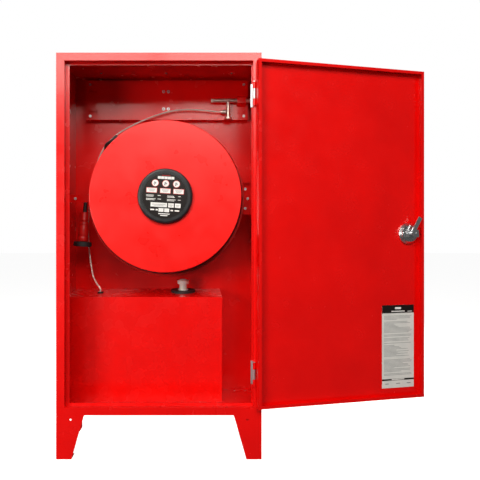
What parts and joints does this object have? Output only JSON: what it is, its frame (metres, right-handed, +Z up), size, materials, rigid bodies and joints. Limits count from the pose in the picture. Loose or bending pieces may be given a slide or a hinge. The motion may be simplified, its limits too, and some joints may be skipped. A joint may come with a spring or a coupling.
{
  "type": "standpipe cabinet",
  "caption": "Free-standing red steel hose reel cabinet with hinged door, latch, spinning hose reel, hung nozzle, inlet pipework and a foam tank on tapered legs.",
  "frame": {"origin": "centre of the footprint on the floor, which is the centre of the four floor bolt holes in the feet", "axes": "+X to the right as seen from the front, +Y to the back, +Z up"},
  "size_m": [1.3051, 0.3755, 1.385],
  "materials": {
    "red_enamel": "glossy powder coat",
    "zinc_steel": "bright zinc plate",
    "nickel": "bright nickel plate",
    "brass": "turned",
    "black_rubber": "matt",
    "black_plastic": "moulded",
    "red_plastic": "moulded",
    "white_plastic": "moulded",
    "clear_tube": "translucent",
    "printed_sheet": "laminated print"
  },
  "bodies": {
    "cabinet": {"body_wrap": "red_enamel", "floor_pan": "red_enamel", "back_panel": "red_enamel", "front_frame": "red_enamel", "left_front_leg": "red_enamel", "right_front_leg": "red_enamel", "left_rear_leg": "red_enamel", "right_rear_leg": "red_enamel", "side_rivets": "red_enamel", "back_rail": "red_enamel", "pipe_clamp": "red_enamel", "foam_tank": "red_enamel", "reel_bar": "red_enamel", "right_bracket": "red_enamel", "left_bracket": "red_enamel", "leg_bolts": "zinc_steel", "ceiling_screws": "zinc_steel", "rail_screws": "zinc_steel", "rail_rivets": "zinc_steel", "bracket_bolts": "zinc_steel", "axle_plate": "zinc_steel", "axle_tube": "zinc_steel", "axle_nut": "zinc_steel", "retaining_ring": "zinc_steel", "hinge_frame_leaves": "zinc_steel", "hinge_pins": "zinc_steel", "nozzle_clip": "zinc_steel", "inlet_pipe": "nickel", "tee_leg": "nickel", "tube_nut": "nickel", "swivel_elbow": "brass", "clamp_pad": "black_rubber", "inlet_grommet": "black_rubber", "tube_grommet": "black_rubber", "tank_gasket": "black_rubber", "nozzle_whip": "black_rubber", "pipe_plug": "black_plastic", "dip_tube": "white_plastic", "suction_tube": "clear_tube"},
    "door": {"door_pan": "red_enamel", "hinge_door_leaves": "red_enamel", "latch_dish": "nickel", "latch_bridge": "nickel", "latch_screws": "nickel", "door_label": "printed_sheet"},
    "cam": {"latch_spindle": "nickel", "latch_cam": "zinc_steel", "latch_handle": "nickel"},
    "reel": {"front_bush": "brass", "rear_bush": "brass", "drum": "red_enamel", "front_disc": "red_enamel", "rear_disc": "red_enamel", "hub_cap": "black_plastic", "hub_label": "printed_sheet", "hose_pack": "black_rubber"},
    "nozzle": {"nozzle_neck": "black_plastic", "nozzle_body": "red_plastic"},
    "nozzle_tip": {"nozzle_bumper": "black_rubber"},
    "tank_cap": {"tank_cap": "white_plastic"}
  },
  "joints": [
    {"name": "door_hinge", "type": "hinge", "parent": "cabinet", "child": "door", "pos_m": [0.3234, -0.178, 0.77], "axis": [0, 0, -1], "range_deg": [0, 194.4]},
    {"name": "latch_turn", "type": "hinge", "parent": "door", "child": "cam", "pos_m": [0.89433, -0.03967, 0.7705], "axis": [0.2487, -0.9686, 0], "range_deg": [-60, 30]},
    {"name": "reel_spin", "type": "hinge", "parent": "cabinet", "child": "reel", "pos_m": [0.018, 0, 0.902], "axis": [0, 1, 0], "continuous": true},
    {"name": "nozzle_release", "type": "slide", "parent": "cabinet", "child": "nozzle", "axis": [-0.0767, 0, -0.9971], "range_m": [0, 0.06]},
    {"name": "nozzle_twist", "type": "hinge", "parent": "nozzle", "child": "nozzle_tip", "pos_m": [-0.29904, 0.043, 0.7305], "axis": [0.0767, 0, 0.9971], "range_deg": [0, 120]},
    {"name": "cap_lift", "type": "slide", "parent": "cabinet", "child": "tank_cap", "axis": [0, -0.0905, 0.9959], "range_m": [0, 0.05]}
  ]
}
